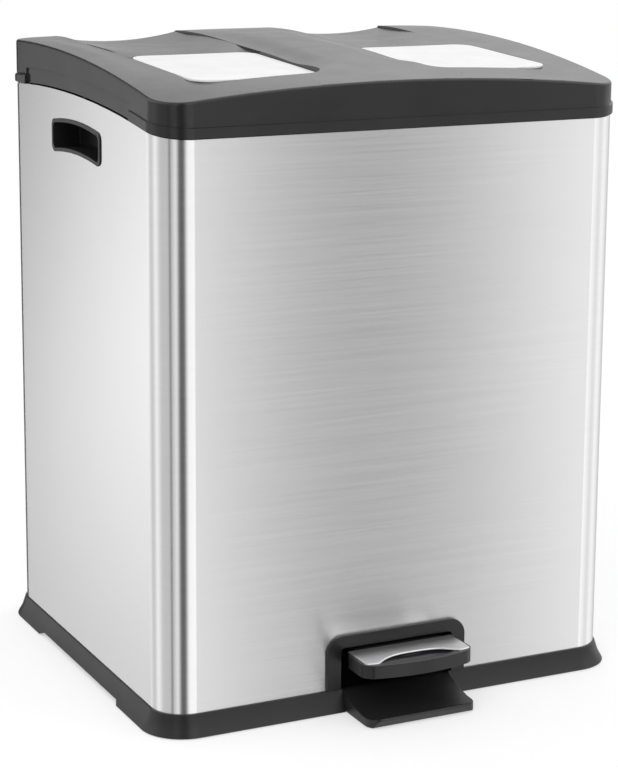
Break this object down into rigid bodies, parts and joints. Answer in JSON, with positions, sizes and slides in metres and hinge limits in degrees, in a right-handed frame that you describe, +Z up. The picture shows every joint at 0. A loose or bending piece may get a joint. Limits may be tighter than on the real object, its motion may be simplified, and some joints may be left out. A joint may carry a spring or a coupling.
{
  "type": "double recycling bin",
  "caption": "Upright rectangular pedal bin with a brushed steel body, dark base, side hand pockets, arched lid with white inlays and twin inner buckets.",
  "frame": {"origin": "on the floor, under the middle of the whole object, toe plate included", "axes": "+X to the right, +Y to the back, +Z up; the pedal is at the front, towards -Y"},
  "size_m": [0.4482, 0.4316, 0.5532],
  "materials": {
    "steel_body": "fine horizontal brushing, satin",
    "pedal_steel": "fine brushing with a bright edge",
    "base_plastic": "fine grained moulding",
    "toe_plastic": "glossy moulding",
    "inner_plastic": "plain moulding",
    "bucket_plastic": "plain moulding",
    "lid_plastic": "fine satin grain",
    "white_inlay": "smooth satin",
    "rubber": "matt",
    "nylon": "smooth",
    "plated_steel": "zinc plated"
  },
  "bodies": {
    "body": {"outer_shell": "steel_body", "base_plinth": "base_plastic", "rubber_feet": "rubber", "pedal_bezel": "base_plastic", "toe_plate": "toe_plastic", "bucket_deck": "inner_plastic", "top_collar": "inner_plastic", "lid_buffers": "rubber", "handle_cup_left": "base_plastic", "handle_cup_right": "base_plastic", "hinge_bracket": "plated_steel", "hinge_cover": "base_plastic", "hinge_pin": "plated_steel", "hinge_clips": "plated_steel", "bracket_screws": "plated_steel", "rod_guides": "inner_plastic", "guide_rivets": "plated_steel", "pivot_bracket": "plated_steel", "pivot_screws": "plated_steel", "pedal_axle": "plated_steel", "axle_clips": "plated_steel"},
    "lid": {"lid_shell": "lid_plastic", "inlay_left": "white_inlay", "inlay_right": "white_inlay", "lid_liner": "inner_plastic", "liner_screws": "plated_steel", "hinge_leaf": "plated_steel", "leaf_screws": "plated_steel", "crank_arm": "plated_steel", "crank_screws": "plated_steel", "crank_pin": "plated_steel", "crank_clip": "plated_steel"},
    "rod": {"push_rod": "plated_steel"},
    "pedal": {"pedal_body": "base_plastic", "pedal_plate": "pedal_steel", "pedal_lever": "plated_steel", "axle_bushes": "nylon", "pedal_screws": "plated_steel", "lever_pin": "plated_steel", "lever_clips": "plated_steel"},
    "left_pail": {"bucket_left": "bucket_plastic"},
    "right_pail": {"bucket_right": "bucket_plastic"}
  },
  "joints": [
    {"name": "lid_hinge", "type": "hinge", "parent": "body", "child": "lid", "pos_m": [0, 0.1947, 0.525], "axis": [-1, 0, 0], "range_deg": [0, 75]},
    {"name": "push_rod_slide", "type": "slide", "parent": "body", "child": "rod", "axis": [0, 0, 1], "range_m": [0, 0.03045]},
    {"name": "pedal_hinge", "type": "hinge", "parent": "body", "child": "pedal", "pos_m": [0, -0.0373, 0.045], "axis": [1, 0, 0], "range_deg": [0, 8.33]},
    {"name": "bucket_left_lift", "type": "slide", "parent": "body", "child": "left_pail", "axis": [0, 0, 1], "range_m": [0, 0.014]},
    {"name": "bucket_right_lift", "type": "slide", "parent": "body", "child": "right_pail", "axis": [0, 0, 1], "range_m": [0, 0.014]}
  ],
  "couplings": [
    {"joint": "push_rod_slide", "follows": "lid_hinge", "m_per_rad": 0.023253},
    {"joint": "pedal_hinge", "follows": "lid_hinge", "ratio": 0.11105}
  ]
}
